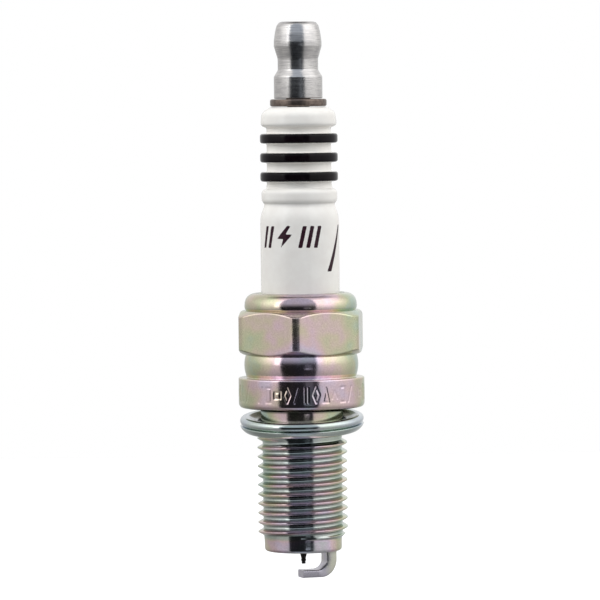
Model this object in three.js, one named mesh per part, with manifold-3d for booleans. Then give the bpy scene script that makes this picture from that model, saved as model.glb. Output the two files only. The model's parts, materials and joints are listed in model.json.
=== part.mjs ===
// Spark plug with an M12 x 1.25 thread, 19 mm reach and a 16 mm hexagon, as separate pieces.
// Millimetres. +Z runs along the axis towards the terminal. The origin is on the axis, in the
// plane of the flange's underside, where the plug seats. Outlines are [radius, height] corners,
// and a third number rounds the corner by that much.

import * as THREE from 'three';
import { mergeVertices } from 'three/addons/utils/BufferGeometryUtils.js';
import Module from 'manifold-3d';

const wasm = await Module();
wasm.setup();

const FULL_TURN = 2 * Math.PI;
const SEGMENTS = 32; // round the axis on the large pieces, so that their flats line up
const TERMINAL_SEGMENTS = 24;
const SMALL_SEGMENTS = 16;
const CORNER_STEPS = 2;
const WIRE_STEPS = 8;
const GAP = 0.06; // between pieces that are pressed or fused together

// Thread and shell
const THREAD_R = 6;
const THREAD_PITCH = 1.25;
const THREAD_ROOT_R = 5.3;
const THREAD_TOP_Z = -4;
const THREAD_END_Z = -17.65;
const THREAD_START_ANGLE = (19 / SEGMENTS) * FULL_TURN; // on a corner of the core's flats
const CREST_WIDTH = 0.16;
const RIDGE_BURIED = 0.15;
const RIDGE_PARTING = 0.04; // between one turn's foot and the next
const REACH = 19.2;
const LEAD_R = 5.17;
const END_ROUND = 0.5;
const NECK_R = 5.52;
const FLANGE_R = 8.4;
const FLANGE_HEIGHT = 4.05;
const BUCKLE_R = 7.42;
const BUCKLE_BULGE = 0.3;
const HEX_BOTTOM = 7.15;
const HEX_TOP = 13;
const HEX_ACROSS_FLATS = 16;
const HEX_CORNER_R = 9;
const HEX_CHAMFER_R = 7.75;
const HEX_CHAMFER_SLOPE = Math.tan(THREE.MathUtils.degToRad(30));
const HEX_TURNED = THREE.MathUtils.degToRad(-94.6); // one corner's direction from +X
const CRIMP_R = 7.5;
const CRIMP_TOP = 15.3;
const CRIMP_LIP_R = 5.42;

// Bores and steps inside the shell
const CHAMBER_R = 6.15;
const CHAMBER_BOTTOM = 3.2;
const CHAMBER_TOP = 14.15;
const GUIDE_R = 4.25;
const GUIDE_TOP = 1.4;
const LEDGE_TOP = -7.9;
const LEDGE_BOTTOM = -8.8;
const LEDGE_R = 3.45;

// Insulator
const BODY_R = 5.25;
const RIB_R = 5.18;
const RIB_WIDTH = 1.2;
const RIB_ROUND = 0.32;
const RIB_FLARE = 0.12; // how much wider each rib is at its foot, on each side
const RIB_PITCH = 2.54;
const TOP_RIB_Z = 35.87;
const PAINTED_RIBS = 3;
const GROOVE_R = 4.3;
const INSULATOR_TOP = 40.05;
const DOME_R = 5.08;
const DOME_BOTTOM = 37.35;
const WHITE_RIB_R = 5.05;
const WHITE_RIB_TOP = 29.25;
const WHITE_RIB_BOTTOM = 27.2;
const WAIST_R = 4.69;
const BODY_TOP = 24.9;
const COLLAR_R = 6.03;
const COLLAR_BOTTOM = 3.6;
const COLLAR_TOP = 8.6;
const LEG_R = 4.1;
const NOSE_TOP_R = 3.15;
const NOSE_TIP_R = 2.05;
const NOSE_TIP_Z = -18.8;
const BORE_R = 1.6;
const BORE_STEP_Z = -5.3;
const NOSE_BORE_R = 1.1;

// Filling of the insulator's bore and of the chamber round it
const SEAL_R = BORE_R - GAP;
const UPPER_SEAL_BOTTOM = 8.1;
const UPPER_SEAL_RIM = 11.5;
const RESISTOR_BOTTOM = 0.2;
const RESISTOR_TOP = 8;
const LOWER_SEAL_TOP = 0.1;
const LOWER_SEAL_RIM = -3.8;
const PACKING_WIRE_R = 0.36;
const UPPER_PACKING_Z = 13.9;
const LOWER_PACKING_Z = 9.56;
const TALC_TOP = UPPER_PACKING_Z - 0.45;
const TALC_BOTTOM = LOWER_PACKING_Z + 0.44;

// Terminal
const STUD_FLANGE_R = 3.77;
const STUD_FLANGE_TOP = 41.1;
const STUD_THREAD_R = 1.95;
const STUD_TOP = 46.9;
const SHANK_R = 1.5;
const SHANK_END = 9.6;
const SHANK_TIP_R = 1.1;
const SHANK_KEYS = 3;
const KEY_PITCH = 0.9;
const NUT_BASE_R = 3.23;
const NUT_HEAD_R = 3.18;
const NUT_WAIST_R = 2.69;
const NUT_TOP = 51.4;
const NUT_BORE_R = 2.1;
const NUT_BORE_TOP = 48.3;

// Firing end
const ELECTRODE_R = 1.03;
const ELECTRODE_SHOULDER_Z = -19;
const ELECTRODE_END = -20.35;
const ELECTRODE_HEAD_R = 1.48;
const ELECTRODE_NECK_R = 1.1;
const ELECTRODE_HEAD_TOP = BORE_STEP_Z + 2.6;
const CORE_R = 0.62;
const CORE_END = -17.5;
const TIP_R = 0.27;
const TIP_END = -21;
const TIP_SEAM = 0.02; // between the tip and what it is welded to
const BEAD_WIDTH = 0.06;
const BEAD_HEIGHT = 0.24;
const SPARK_GAP = 0.83;
const LEG_THICKNESS = 1.45;
const ARM_THICKNESS = 1.02;
const STRAP_WIDTH = 2.3;
const STRAP_OUTER_R = 4.35;
const STRAP_PAST_AXIS = 0.42;
const OUTER_BEND = [2.15, 2.4]; // across and along the plug
const INNER_BEND = [1.25, 1.25];
const STRAP_TAPER_FROM = 1.9;
const STRAP_TIP_SHARE = 0.85; // the tip's width as a share of the strap's
const STRAP_DIRECTION = THREE.MathUtils.degToRad(20);

// Gasket, hanging loose on the neck, with its front and left side low
const GASKET_R = 8.25;
const GASKET_LIP_R = 5.85;
const GASKET_LIP_HALF = 0.5;
const GASKET_HALF = 1.08;
const GASKET_FOLD_Z = -0.08;
const GASKET_FOLD_DEPTH = 0.2;
const GASKET_Z = -2.1;
const GASKET_FRONT_LOW = THREE.MathUtils.degToRad(4.8);
const GASKET_LEFT_LOW = THREE.MathUtils.degToRad(0.9);

// Cuts each rounded corner short and bends the outline across it.
function outline(corners) {
  const points = [];
  corners.forEach(([radius, height, round = 0], index) => {
    const corner = new THREE.Vector2(radius, height);
    if (round === 0) {
      points.push(corner);
      return;
    }
    const [before, after] = [index - 1, index + 1].map((near) => {
      const [r, z] = corners[(near + corners.length) % corners.length];
      const towards = new THREE.Vector2(r, z).sub(corner);
      return corner.clone().add(towards.setLength(round));
    });
    points.push(...new THREE.QuadraticBezierCurve(before, corner, after).getPoints(CORNER_STEPS));
  });
  return points;
}

// Turns an outline about the axis. It runs upwards along the outside of the piece.
function turned(corners, segments = SEGMENTS) {
  return new THREE.LatheGeometry(outline(corners), segments).rotateX(Math.PI / 2);
}

// A turned ring, whose outline closes on itself.
function ring(corners, segments = SEGMENTS) {
  const points = outline(corners);
  points.push(points[0].clone());
  return new THREE.LatheGeometry(points, segments).rotateX(Math.PI / 2);
}

function solid(geometry) {
  const bare = geometry.clone();
  bare.deleteAttribute('normal');
  bare.deleteAttribute('uv');
  const merged = mergeVertices(bare);
  const corners = merged.index.array;
  const kept = [];
  for (let i = 0; i < corners.length; i += 3) {
    const [a, b, c] = corners.slice(i, i + 3);
    if (a !== b && b !== c && c !== a) kept.push(a, b, c);
  }
  const triVerts = Uint32Array.from(kept);
  const vertProperties = merged.attributes.position.array;
  return new wasm.Manifold(new wasm.Mesh({ numProp: 3, vertProperties, triVerts }));
}

function geometryOf(manifold) {
  const mesh = manifold.getMesh();
  const geometry = new THREE.BufferGeometry();
  geometry.setAttribute('position', new THREE.BufferAttribute(mesh.vertProperties, 3));
  geometry.setIndex(new THREE.BufferAttribute(mesh.triVerts, 1));
  return geometry;
}

function cleaned(geometry) {
  return geometryOf(solid(geometry));
}

// One ridge of trapezoid section wound round the core, right-handed, its height fading in at the
// top over the first half turn. It sinks a little into the core so that the two join.
function threadRidge() {
  const turns = (THREAD_TOP_Z - THREAD_END_Z) / THREAD_PITCH;
  const steps = Math.round(turns * SEGMENTS);
  const fadeSteps = SEGMENTS / 2;
  const footR = THREAD_ROOT_R - RIDGE_BURIED;
  const footHalf = (THREAD_PITCH - RIDGE_PARTING) / 2;
  const positions = [];
  for (let step = 0; step <= steps; step += 1) {
    const angle = THREAD_START_ANGLE - (step / SEGMENTS) * FULL_TURN;
    const middle = THREAD_TOP_Z - (step / SEGMENTS) * THREAD_PITCH;
    const fade = Math.min(1, (step + 1) / fadeSteps);
    const crestR = footR + (THREAD_R - footR) * fade;
    const section = [
      [footR, -footHalf],
      [crestR, -CREST_WIDTH / 2],
      [crestR, CREST_WIDTH / 2],
      [footR, footHalf],
    ];
    for (const [radius, rise] of section) {
      positions.push(radius * Math.cos(angle), radius * Math.sin(angle), middle + rise);
    }
  }
  const index = [];
  const corners = 4;
  for (let step = 0; step < steps; step += 1) {
    for (let corner = 0; corner < corners; corner += 1) {
      const next = (corner + 1) % corners;
      const [a, b] = [step * corners + corner, step * corners + next];
      const [c, d] = [a + corners, b + corners];
      index.push(a, b, c, b, d, c);
    }
  }
  const last = steps * corners;
  index.push(0, 2, 1, 0, 3, 2);
  index.push(last, last + 1, last + 2, last, last + 2, last + 3);
  const geometry = new THREE.BufferGeometry();
  geometry.setAttribute('position', new THREE.Float32BufferAttribute(positions, 3));
  geometry.setIndex(index);
  return solid(geometry);
}

// A disc with both rims chamfered at 30 degrees, cut to six sides.
function hexagon() {
  const chamfer = (HEX_CORNER_R - HEX_CHAMFER_R) * HEX_CHAMFER_SLOPE;
  const disc = turned([
    [0, HEX_BOTTOM],
    [HEX_CHAMFER_R, HEX_BOTTOM],
    [HEX_CORNER_R, HEX_BOTTOM + chamfer],
    [HEX_CORNER_R, HEX_TOP - chamfer],
    [HEX_CHAMFER_R, HEX_TOP],
    [0, HEX_TOP],
  ], 2 * SEGMENTS);
  const sharpR = HEX_ACROSS_FLATS / 2 / Math.cos(Math.PI / 6);
  const sides = new THREE.Shape();
  for (let side = 0; side < 6; side += 1) {
    const angle = HEX_TURNED + (side * FULL_TURN) / 6;
    sides[side === 0 ? 'moveTo' : 'lineTo'](sharpR * Math.cos(angle), sharpR * Math.sin(angle));
  }
  const prism = new THREE.ExtrudeGeometry(sides, { depth: HEX_TOP, bevelEnabled: false });
  return solid(disc).intersect(solid(prism.translate(0, 0, HEX_BOTTOM / 2)));
}

function metalShell() {
  const firingEnd = turned([
    [0, -REACH],
    [LEAD_R, -REACH, END_ROUND],
    [LEAD_R, THREAD_END_Z + 0.3],
    [THREAD_ROOT_R, THREAD_END_Z + 0.9],
    [THREAD_ROOT_R, THREAD_TOP_Z],
    [NECK_R, THREAD_TOP_Z + 0.4],
    [NECK_R, 0],
    [FLANGE_R, 0, 0.5],
    [FLANGE_R, FLANGE_HEIGHT, 0.2],
    [BUCKLE_R, FLANGE_HEIGHT + 0.06],
    [BUCKLE_R + BUCKLE_BULGE, (FLANGE_HEIGHT + HEX_BOTTOM) / 2, 1],
    [BUCKLE_R, HEX_BOTTOM],
    [BUCKLE_R, HEX_BOTTOM + 1],
    [0, HEX_BOTTOM + 1],
  ]);
  const crimp = turned([
    [0, HEX_TOP - 1],
    [CRIMP_R, HEX_TOP - 1],
    [CRIMP_R, CRIMP_TOP, 1.7],
    [CRIMP_LIP_R, CRIMP_TOP, 0.3],
    [0, CRIMP_TOP],
  ]);
  const bores = turned([
    [0, -REACH - 1],
    [LEDGE_R, -REACH - 1],
    [LEDGE_R, LEDGE_BOTTOM],
    [GUIDE_R, LEDGE_TOP],
    [GUIDE_R, GUIDE_TOP],
    [CHAMBER_R, CHAMBER_BOTTOM],
    [CHAMBER_R, CHAMBER_TOP],
    [CRIMP_LIP_R, CHAMBER_TOP + 0.35],
    [CRIMP_LIP_R, CRIMP_TOP + 1],
    [0, CRIMP_TOP + 1],
  ]);
  // The blank's cone, on which the ridge runs out towards the firing end.
  const blank = turned([
    [0, THREAD_END_Z],
    [LEAD_R, THREAD_END_Z],
    [THREAD_R, THREAD_END_Z + 0.9],
    [THREAD_R, 0],
    [0, 0],
  ]);
  const thread = threadRidge().intersect(solid(blank));
  const outside = solid(firingEnd).add(thread).add(hexagon()).add(solid(crimp));
  return geometryOf(outside.subtract(solid(bores)));
}

// The three painted ribs are alike, so their corners come from one loop, top rib first.
function paintedRibs() {
  const corners = [];
  for (let rib = 0; rib < PAINTED_RIBS; rib += 1) {
    const middle = TOP_RIB_Z - rib * RIB_PITCH;
    const top = middle + RIB_WIDTH / 2;
    const bottom = middle - RIB_WIDTH / 2;
    corners.push([GROOVE_R, top + RIB_FLARE], [RIB_R, top, RIB_ROUND]);
    corners.push([RIB_R, bottom, RIB_ROUND], [GROOVE_R, bottom - RIB_FLARE]);
  }
  return corners;
}

function insulator() {
  const upper = [
    [BORE_R, INSULATOR_TOP],
    [DOME_R - 1.33, INSULATOR_TOP, 0.3],
    [DOME_R - 0.13, INSULATOR_TOP - 0.7, 0.6],
    [DOME_R, DOME_BOTTOM + 0.25, 0.4],
    [GROOVE_R, DOME_BOTTOM],
    ...paintedRibs(),
    [GROOVE_R + 0.1, WHITE_RIB_TOP],
    [WHITE_RIB_R, WHITE_RIB_TOP - 0.35, 0.4],
    [WHITE_RIB_R, WHITE_RIB_BOTTOM + 0.35, 0.4],
    [WAIST_R, WHITE_RIB_BOTTOM],
    [WAIST_R, BODY_TOP + 0.65],
    [BODY_R, BODY_TOP, 0.5],
  ];
  const lower = [
    [BODY_R, COLLAR_TOP + 0.6],
    [COLLAR_R, COLLAR_TOP, 0.3],
    [COLLAR_R, COLLAR_BOTTOM, 0.3],
    [LEG_R, COLLAR_BOTTOM - 1.7],
    [LEG_R, LEDGE_TOP + 0.55],
    [NOSE_TOP_R, LEDGE_TOP - 0.45],
    [NOSE_TIP_R, NOSE_TIP_Z, 0.4],
    [NOSE_BORE_R, NOSE_TIP_Z],
    [NOSE_BORE_R, BORE_STEP_Z - 0.4],
    [BORE_R, BORE_STEP_Z],
  ];
  return cleaned(ring([...upper, ...lower].reverse()));
}

function terminalNut() {
  return cleaned(turned([
    [0, NUT_BORE_TOP + 1.2],
    [NUT_BORE_R, NUT_BORE_TOP],
    [NUT_BORE_R, STUD_FLANGE_TOP + 0.4],
    [NUT_BORE_R + 0.35, STUD_FLANGE_TOP + GAP],
    [NUT_BASE_R, STUD_FLANGE_TOP + GAP, 0.15],
    [NUT_BASE_R, 44.05, 0.15],
    [NUT_WAIST_R, 44.9, 0.3],
    [NUT_WAIST_R, 46.5, 0.3],
    [NUT_HEAD_R, 48.1],
    [NUT_HEAD_R, 48.7, 0.4],
    [2.98, 50.3, 0.5],
    [2.7, 51.15, 0.3],
    [2.2, NUT_TOP],
    [0, NUT_TOP],
  ], TERMINAL_SEGMENTS));
}

// The shank has grooves at its foot, which key it into the glass.
function terminalStud() {
  const keyed = [];
  for (let key = 0; key < SHANK_KEYS; key += 1) {
    const z = SHANK_END + 2.2 + key * KEY_PITCH;
    keyed.push([SHANK_R, z], [SHANK_R - 0.2, z + 0.25], [SHANK_R - 0.2, z + 0.45], [SHANK_R, z + 0.7]);
  }
  return cleaned(turned([
    [0, SHANK_END],
    [SHANK_TIP_R - 0.2, SHANK_END],
    [SHANK_TIP_R, SHANK_END + 0.3],
    [SHANK_TIP_R, SHANK_END + 2],
    ...keyed,
    [SHANK_R, INSULATOR_TOP + GAP],
    [STUD_FLANGE_R, INSULATOR_TOP + GAP, 0.25],
    [STUD_FLANGE_R, STUD_FLANGE_TOP, 0.25],
    [STUD_THREAD_R - 0.25, STUD_FLANGE_TOP],
    [STUD_THREAD_R, STUD_FLANGE_TOP + 0.5],
    [STUD_THREAD_R, STUD_TOP - 0.4],
    [STUD_THREAD_R - 0.4, STUD_TOP],
    [0, STUD_TOP],
  ], TERMINAL_SEGMENTS));
}

// Conducting glass fills the bore round the stud's foot and round the electrode's head. Each
// seal is a cup: the piece that it holds stands in it. Heights run from the cup's closed end.
function glassSeal(closedEnd, rim, socketFloor, socketR) {
  const corners = [
    [0, closedEnd],
    [SEAL_R, closedEnd],
    [SEAL_R, rim],
    [socketR, rim],
    [socketR, socketFloor],
    [0, socketFloor],
  ];
  return cleaned(turned(closedEnd < rim ? corners : corners.reverse(), SMALL_SEGMENTS));
}

function resistor() {
  return cleaned(turned([
    [0, RESISTOR_BOTTOM],
    [SEAL_R, RESISTOR_BOTTOM],
    [SEAL_R, RESISTOR_TOP],
    [0, RESISTOR_TOP],
  ], SMALL_SEGMENTS));
}

// A nickel cup drawn round a copper core, open at the head. The head rests on the bore's step.
function centreElectrode() {
  return cleaned(turned([
    [0, ELECTRODE_END],
    [TIP_R + TIP_SEAM, ELECTRODE_END],
    [0.4, ELECTRODE_END + 0.7],
    [ELECTRODE_R, ELECTRODE_SHOULDER_Z, 0.15],
    [ELECTRODE_R, BORE_STEP_Z],
    [ELECTRODE_HEAD_R, BORE_STEP_Z + 0.3],
    [ELECTRODE_HEAD_R, BORE_STEP_Z + 1],
    [ELECTRODE_NECK_R, BORE_STEP_Z + 1.4],
    [ELECTRODE_NECK_R, ELECTRODE_HEAD_TOP],
    [CORE_R, ELECTRODE_HEAD_TOP],
    [CORE_R, CORE_END + 0.6],
    [0, CORE_END],
  ], SMALL_SEGMENTS));
}

function copperCore() {
  const coreR = CORE_R - GAP;
  return cleaned(turned([
    [0, CORE_END + 0.15],
    [coreR, CORE_END + 0.7],
    [coreR, ELECTRODE_HEAD_TOP],
    [0, ELECTRODE_HEAD_TOP],
  ], SMALL_SEGMENTS));
}

function iridiumTip() {
  return cleaned(turned([
    [0, TIP_END],
    [TIP_R, TIP_END],
    [TIP_R, ELECTRODE_END - TIP_SEAM],
    [0, ELECTRODE_END - TIP_SEAM],
  ], SMALL_SEGMENTS));
}

// The laser weld's bead round the foot of the tip.
function tipWeldRing() {
  const inner = TIP_R + TIP_SEAM;
  const top = ELECTRODE_END - TIP_SEAM;
  return cleaned(ring([
    [inner, top - BEAD_HEIGHT],
    [inner + BEAD_WIDTH, top - BEAD_HEIGHT * 0.7],
    [inner + BEAD_WIDTH, top - BEAD_HEIGHT * 0.3],
    [inner, top],
  ], SMALL_SEGMENTS));
}

// A strap welded to the shell's end face, bent under the tip and pressed thinner there. Its side
// view is drawn with x along the radius and y upwards, then pushed out to the strap's width and
// stood upright.
function groundElectrode() {
  const innerX = STRAP_OUTER_R - LEG_THICKNESS;
  const armTop = TIP_END - SPARK_GAP;
  const armBottom = armTop - ARM_THICKNESS;
  const root = -REACH - GAP / 2;
  const [innerAcross, innerAlong] = INNER_BEND;
  const [outerAcross, outerAlong] = OUTER_BEND;
  const innerMiddle = [innerX - innerAcross, armTop + innerAlong];
  const outerMiddle = [STRAP_OUTER_R - outerAcross, armBottom + outerAlong];
  const down = -Math.PI / 2;
  const side = new THREE.Shape();
  side.moveTo(STRAP_OUTER_R, root);
  side.lineTo(innerX, root);
  side.absellipse(...innerMiddle, innerAcross, innerAlong, 0, down, true);
  side.lineTo(-STRAP_PAST_AXIS, armTop);
  side.lineTo(-STRAP_PAST_AXIS, armBottom);
  side.absellipse(...outerMiddle, outerAcross, outerAlong, down, 0, false);
  const strap = new THREE.ExtrudeGeometry(side, {
    depth: STRAP_WIDTH,
    bevelEnabled: false,
    curveSegments: 8,
  });
  strap.translate(0, 0, -STRAP_WIDTH / 2).rotateX(Math.PI / 2);
  const place = strap.attributes.position;
  for (let i = 0; i < place.count; i += 1) {
    const nearTip = THREE.MathUtils.smoothstep(-place.getX(i), -STRAP_TAPER_FROM, STRAP_PAST_AXIS);
    place.setY(i, place.getY(i) * THREE.MathUtils.lerp(1, STRAP_TIP_SHARE, nearTip));
  }
  return cleaned(strap.rotateZ(STRAP_DIRECTION));
}

// Sheet steel crushed between the insulator's step and the shell's ledge.
function seatPacking() {
  const inner = LEDGE_R + 0.05;
  const outer = GUIDE_R - 0.08;
  const slope = (LEDGE_TOP - LEDGE_BOTTOM) / (GUIDE_R - LEDGE_R);
  const onLedge = (radius) => LEDGE_BOTTOM + (radius - LEDGE_R) * slope + GAP;
  const thick = 0.5;
  return cleaned(ring([
    [inner, onLedge(inner)],
    [outer, onLedge(outer)],
    [outer, onLedge(outer) + 0.2],
    [LEG_R, onLedge(LEG_R) + thick - 0.05],
    [inner, onLedge(inner) + thick],
  ]));
}

function packingRing(height) {
  const middleR = (BODY_R + CHAMBER_R) / 2;
  const points = [];
  for (let step = 0; step <= WIRE_STEPS; step += 1) {
    const angle = (step % WIRE_STEPS) * (FULL_TURN / WIRE_STEPS);
    const radius = middleR + PACKING_WIRE_R * Math.cos(angle);
    points.push(new THREE.Vector2(radius, height + PACKING_WIRE_R * Math.sin(angle)));
  }
  return cleaned(new THREE.LatheGeometry(points, SEGMENTS).rotateX(Math.PI / 2));
}

function talcRing() {
  return cleaned(ring([
    [BODY_R + GAP, TALC_BOTTOM],
    [CHAMBER_R - GAP, TALC_BOTTOM],
    [CHAMBER_R - GAP, TALC_TOP],
    [BODY_R + GAP, TALC_TOP],
  ]));
}

// A steel ring folded from sheet: the two turns of the fold meet in a groove round the rim.
function gasket() {
  const flatInnerR = GASKET_LIP_R + 0.5;
  return cleaned(ring([
    [GASKET_LIP_R, -GASKET_LIP_HALF, 0.15],
    [flatInnerR, -GASKET_HALF, 0.2],
    [GASKET_R - 0.65, -GASKET_HALF, 0.3],
    [GASKET_R, -0.6, 0.25],
    [GASKET_R, GASKET_FOLD_Z - 0.1],
    [GASKET_R - GASKET_FOLD_DEPTH, GASKET_FOLD_Z],
    [GASKET_R, GASKET_FOLD_Z + 0.1],
    [GASKET_R, 0.5, 0.25],
    [GASKET_R - 0.55, GASKET_HALF, 0.35],
    [flatInnerR, GASKET_HALF - 0.1, 0.2],
    [GASKET_LIP_R, GASKET_LIP_HALF, 0.15],
  ]));
}

function finish(color, roughness, metalness) {
  return { color, roughness, metalness };
}

const ALUMINIUM = finish(0xd4d3d0, 0.28, 1);
const OXIDISED_STEEL = finish(0x6b5340, 0.5, 0.9);
const GLAZE = finish(0xf4f3f0, 0.12, 0);
const ZINC_PLATE = finish(0xc9c3b8, 0.22, 1);
const BRIGHT_ZINC = finish(0xd3d9dd, 0.2, 1);
const NICKEL = finish(0x8d8b80, 0.45, 1);
const DARK_NICKEL = finish(0x4c4a46, 0.5, 1);
const COPPER = finish(0xb87349, 0.35, 1);
const IRIDIUM = finish(0xa9a8a6, 0.3, 1);
const SEAL_GLASS = finish(0x5a4436, 0.4, 0.2);
const CARBON_GLASS = finish(0x2b2b2d, 0.7, 0);
const TALC = finish(0xdedbd2, 0.95, 0);
const STEEL = finish(0x9b9a97, 0.4, 1);

const plug = new THREE.Group();

function add(name, geometry, look, group = plug) {
  const mesh = new THREE.Mesh(geometry, new THREE.MeshStandardMaterial(look));
  mesh.name = name;
  group.add(mesh);
}

add('metal_shell', metalShell(), ZINC_PLATE);
add('insulator', insulator(), GLAZE);
add('terminal_stud', terminalStud(), OXIDISED_STEEL);
add('terminal_nut', terminalNut(), ALUMINIUM);
const upperSeal = glassSeal(UPPER_SEAL_BOTTOM, UPPER_SEAL_RIM, SHANK_END - GAP, SHANK_TIP_R + GAP);
const headSocketZ = ELECTRODE_HEAD_TOP + GAP;
const lowerSeal = glassSeal(LOWER_SEAL_TOP, LOWER_SEAL_RIM, headSocketZ, ELECTRODE_NECK_R + GAP);
add('upper_glass_seal', upperSeal, SEAL_GLASS);
add('resistor', resistor(), CARBON_GLASS);
add('lower_glass_seal', lowerSeal, SEAL_GLASS);
add('centre_electrode', centreElectrode(), DARK_NICKEL);
add('centre_electrode_copper_core', copperCore(), COPPER);
add('iridium_tip', iridiumTip(), IRIDIUM);
add('tip_weld_ring', tipWeldRing(), DARK_NICKEL);
add('ground_electrode', groundElectrode(), NICKEL);
add('seat_packing_washer', seatPacking(), STEEL);
add('talc_filling', talcRing(), TALC);
add('upper_packing_ring', packingRing(UPPER_PACKING_Z), STEEL);
add('lower_packing_ring', packingRing(LOWER_PACKING_Z), STEEL);

const looseGasket = new THREE.Group();
looseGasket.position.z = GASKET_Z;
looseGasket.rotation.set(GASKET_FRONT_LOW, -GASKET_LEFT_LOW, 0);
plug.add(looseGasket);
add('gasket', gasket(), BRIGHT_ZINC, looseGasket);

export default plug;
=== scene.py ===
"""A spark plug: fine surfaces, materials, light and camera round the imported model.

Outlines are [radius, height] corners in millimetres, with heights from the flange's underside,
and a third number rounds the corner. Meshes are in metres. Angles are from +X, and the front is -Y.
"""

import json
import math

import bmesh
import bpy
import numpy as np
from mathutils import Matrix, Vector


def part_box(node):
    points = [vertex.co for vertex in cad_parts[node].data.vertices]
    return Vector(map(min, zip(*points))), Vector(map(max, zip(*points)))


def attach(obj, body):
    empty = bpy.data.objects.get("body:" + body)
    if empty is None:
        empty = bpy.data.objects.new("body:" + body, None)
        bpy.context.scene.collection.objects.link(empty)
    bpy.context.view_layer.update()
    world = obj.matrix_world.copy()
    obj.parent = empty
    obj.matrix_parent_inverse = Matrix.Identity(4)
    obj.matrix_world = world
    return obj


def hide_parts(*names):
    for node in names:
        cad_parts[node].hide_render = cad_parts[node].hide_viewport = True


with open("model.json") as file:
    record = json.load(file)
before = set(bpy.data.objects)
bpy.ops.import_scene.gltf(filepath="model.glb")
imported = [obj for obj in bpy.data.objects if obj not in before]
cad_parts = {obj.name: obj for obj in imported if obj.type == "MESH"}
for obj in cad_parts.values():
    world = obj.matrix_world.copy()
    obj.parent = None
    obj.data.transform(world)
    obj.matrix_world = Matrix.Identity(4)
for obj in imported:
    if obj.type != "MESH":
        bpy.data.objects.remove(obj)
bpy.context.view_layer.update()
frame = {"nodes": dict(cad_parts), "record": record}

MM = 0.001
FULL_TURN = 2 * math.pi
FRONT = -math.pi / 2
COLUMNS = 180  # round the shell and the insulator, a multiple of six for the hexagon
SMALL_COLUMNS = 96
POLE_R = 1e-6


def extent(cad_name):
    """A CAD node's lowest and highest corners, in millimetres."""
    low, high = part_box(cad_name)
    return low / MM, high / MM


MOUNTS = {mount["name"]: mount for mount in frame["record"]["mounts"]}
SHELL_LOW, SHELL_HIGH = extent("metal_shell")
INSULATOR_LOW, INSULATOR_HIGH = extent("insulator")
NUT_LOW, NUT_HIGH = extent("terminal_nut")
STUD_LOW, STUD_HIGH = extent("terminal_stud")
GASKET_LOW, GASKET_HIGH = extent("gasket")
STRAP_LOW = extent("ground_electrode")[0]
TIP_LOW, TIP_HIGH = extent("iridium_tip")

FLANGE_R = SHELL_HIGH.x
CRIMP_TOP = SHELL_HIGH.z
END_Z = SHELL_LOW.z
FLAT_AXIS = Vector(MOUNTS["spanner_flat_right"]["axis"])
HEX_TURNED = math.atan2(FLAT_AXIS.y, FLAT_AXIS.x) + FRONT  # a corner of the hexagon
SEAL_AXIS = Vector(MOUNTS["gasket_seal_face"]["axis"])
GASKET_TILT = Vector((0, 0, -1)).rotation_difference(SEAL_AXIS).to_matrix()


def outline(corners, steps=6):
    """The corners as points, each rounded corner bent across by a quadratic curve."""
    points = []
    for index, (radius, height, *reach) in enumerate(corners):
        if not reach:
            points.append((radius, height))
            continue
        ends = []
        for near_radius, near_height, *_ in (corners[index - 1], corners[(index + 1) % len(corners)]):
            share = reach[0] / math.hypot(near_radius - radius, near_height - height)
            ends.append((radius + (near_radius - radius) * share, height + (near_height - height) * share))
        trio = (ends[0], (radius, height), ends[1])
        for step in range(steps + 1):
            t = step / steps
            weights = ((1 - t) ** 2, 2 * t * (1 - t), t * t)
            points.append(tuple(sum(w * p[axis] for w, p in zip(weights, trio)) for axis in (0, 1)))
    return points


def arc(middle_r, middle_z, radius, start, end, steps=8):
    """Corners along an arc, with angles in degrees from straight outwards."""
    turns = [math.radians(start + (end - start) * step / steps) for step in range(steps + 1)]
    return [[middle_r + radius * math.cos(turn), middle_z + radius * math.sin(turn)] for turn in turns]


class Skin:
    """The points and faces of one piece, as rings round the axis, in millimetres."""

    def __init__(self, columns, first_angle=0.0):
        self.columns = columns
        self.first_angle = first_angle
        self.points = []
        self.faces = []

    def angles(self, finer=1):
        count = self.columns * finer
        return self.first_angle + FULL_TURN * np.arange(count) / count

    def ring(self, radius, height, finer=1):
        angles = self.angles(finer)
        if np.isscalar(radius) and radius < POLE_R:
            self.points.append((0.0, 0.0, float(height)))
            return [len(self.points) - 1]
        start = len(self.points)
        heights = np.broadcast_to(height, angles.shape)
        self.points.extend(zip(radius * np.cos(angles), radius * np.sin(angles), heights))
        return list(range(start, len(self.points)))

    def bridge(self, one, other):
        """Faces between two rings. One may have a multiple of the other's points."""
        few, many = sorted((one, other), key=len)
        if len(few) == 1:
            self.faces.extend([few[0], many[i - 1], many[i]] for i in range(len(many)))
            return
        per = len(many) // len(few)
        for i in range(len(few)):
            fine = [many[(i * per + k) % len(many)] for k in range(per, -1, -1)]
            self.faces.append([few[i], few[(i + 1) % len(few)], *fine])

    def stack(self, rings, closed=False):
        for one, other in zip(rings, rings[1:]):
            self.bridge(one, other)
        if closed:
            self.bridge(rings[-1], rings[0])


def turned(corners, columns=SMALL_COLUMNS, closed=False, steps=6):
    """A turned piece. Its outline starts and ends on the axis, or closes on itself."""
    skin = Skin(columns)
    skin.stack([skin.ring(radius, height) for radius, height in outline(corners, steps)], closed)
    return skin


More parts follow.
